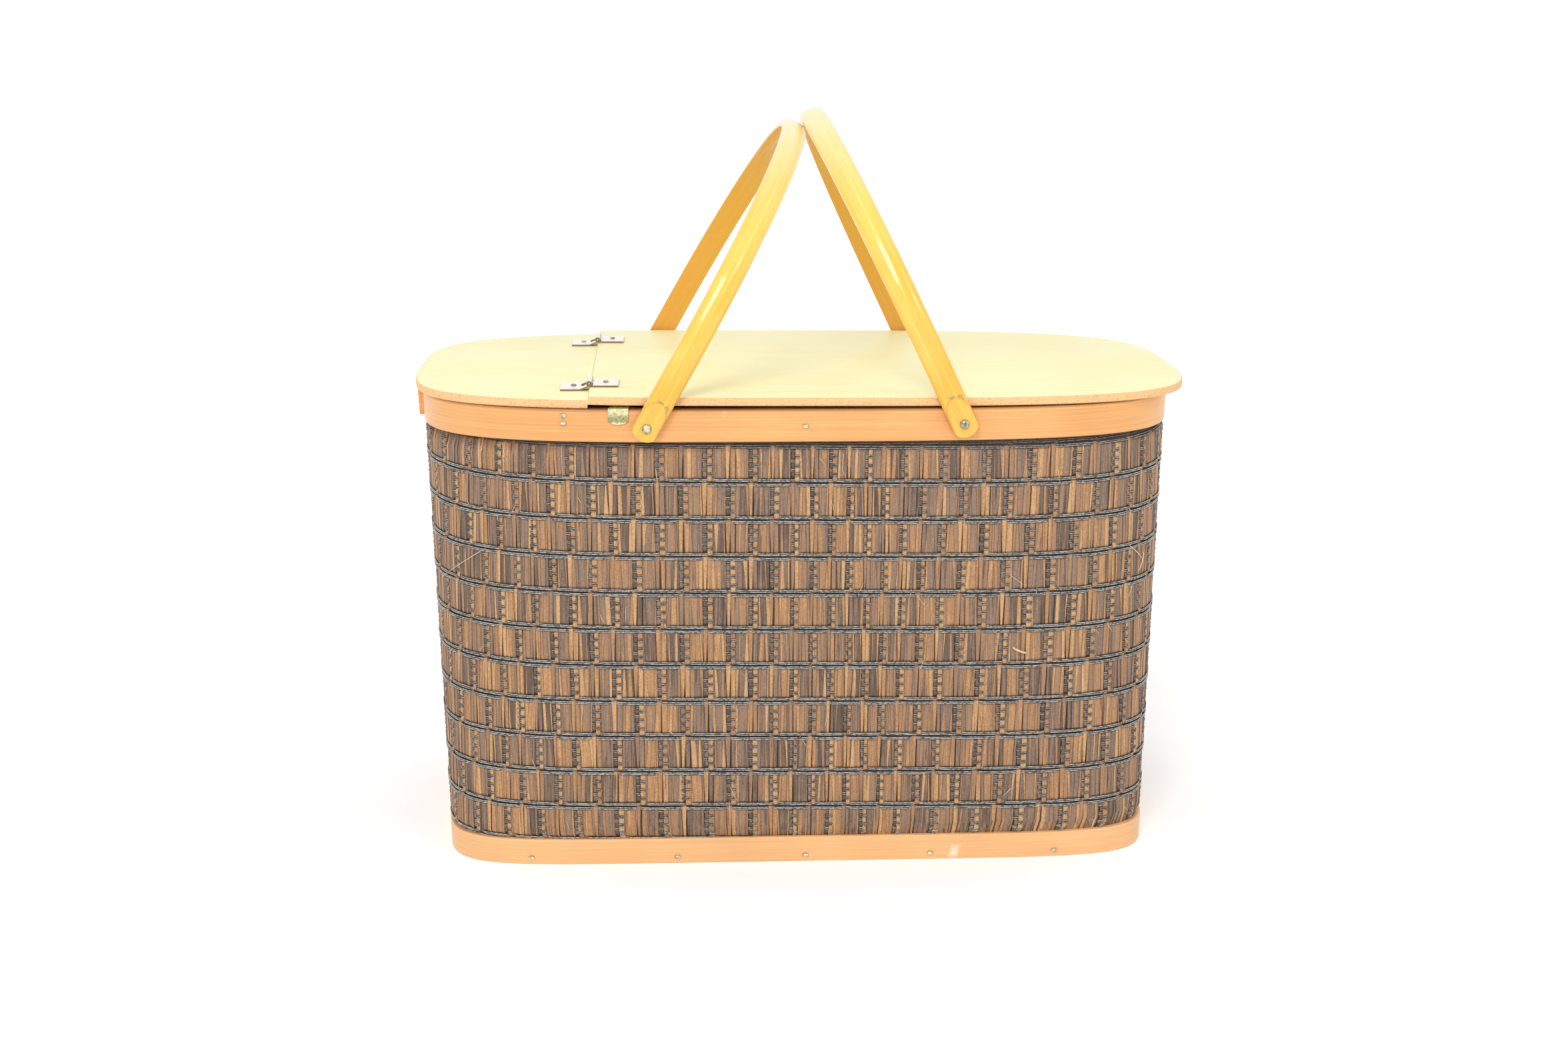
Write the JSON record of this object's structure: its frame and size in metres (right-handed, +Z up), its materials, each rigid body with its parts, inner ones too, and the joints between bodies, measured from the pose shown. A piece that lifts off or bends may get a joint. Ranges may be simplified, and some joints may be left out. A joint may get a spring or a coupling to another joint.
{
  "type": "woven wood picnic basket",
  "caption": "Tapered woven wood picnic basket with bentwood bands, a part-hinged flat lid and two swinging bentwood carrying handles.",
  "frame": {"origin": "centre of the base board's underside, on the surface the basket stands on", "axes": "+X along the basket's length, from the fixed lid part to the hinged one, +Y from front to back, +Z up"},
  "size_m": [0.47, 0.293, 0.4442],
  "materials": {
    "hardboard": "pale sealed hardboard, satin",
    "bentwood": "orange-tan varnish, satin",
    "lacquered_wood": "golden lacquer, gloss",
    "weave": "brown wood strips bound with dark cord",
    "plain_wood": "bare wood",
    "nickel": "nickel plate",
    "brass": "brass plate"
  },
  "bodies": {
    "basket": {"base_board": "plain_wood", "base_band": "bentwood", "woven_wall": "weave", "rim_band_outer": "bentwood", "rim_band_inner": "bentwood", "rim_clip": "brass", "base_nail_front_1": "brass", "base_nail_front_2": "brass", "base_nail_front_3": "brass", "base_nail_front_4": "brass", "base_nail_front_5": "brass", "base_nail_back_1": "brass", "base_nail_back_2": "brass", "base_nail_back_3": "brass", "base_nail_back_4": "brass", "base_nail_back_5": "brass", "base_nail_left": "brass", "base_nail_right": "brass", "rim_nail_front": "brass", "rim_nail_back": "brass", "fixed_lid": "hardboard", "lid_crossbar": "plain_wood", "crossbar_nail_front_upper": "brass", "crossbar_nail_front_lower": "brass", "crossbar_nail_back_upper": "brass", "crossbar_nail_back_lower": "brass", "crossbar_screw_front": "nickel", "crossbar_screw_back": "nickel", "hinge_leaf_fixed_front": "nickel", "hinge_leaf_fixed_back": "nickel", "hinge_pin_front": "nickel", "hinge_pin_back": "nickel", "hinge_tack_front": "nickel", "hinge_tack_back": "nickel", "handle_rivet_left_front": "nickel", "handle_rivet_left_back": "nickel", "handle_rivet_right_front": "nickel", "handle_rivet_right_back": "nickel", "rivet_burr_left_front": "nickel", "rivet_burr_left_back": "nickel", "rivet_burr_right_front": "nickel", "rivet_burr_right_back": "nickel"},
    "lid": {"lid_panel": "hardboard", "hinge_leaf_lid_front": "nickel", "hinge_leaf_lid_back": "nickel", "hinge_rivet_front": "nickel", "hinge_rivet_back": "nickel"},
    "handle_left": {"handle_left": "lacquered_wood"},
    "handle_right": {"handle_right": "lacquered_wood"}
  },
  "joints": [
    {"name": "lid_hinge", "type": "hinge", "parent": "basket", "child": "lid", "pos_m": [-0.1245, 0, 0.2893], "axis": [0, -1, 0], "range_deg": [0, 10]},
    {"name": "left_handle_swing", "type": "hinge", "parent": "basket", "child": "handle_left", "pos_m": [-0.0908, 0, 0.2704], "axis": [0, -1, 0], "range_deg": [0, 140]},
    {"name": "right_handle_swing", "type": "hinge", "parent": "basket", "child": "handle_right", "pos_m": [0.0908, 0, 0.272], "axis": [0, 1, 0], "range_deg": [0, 140]}
  ]
}
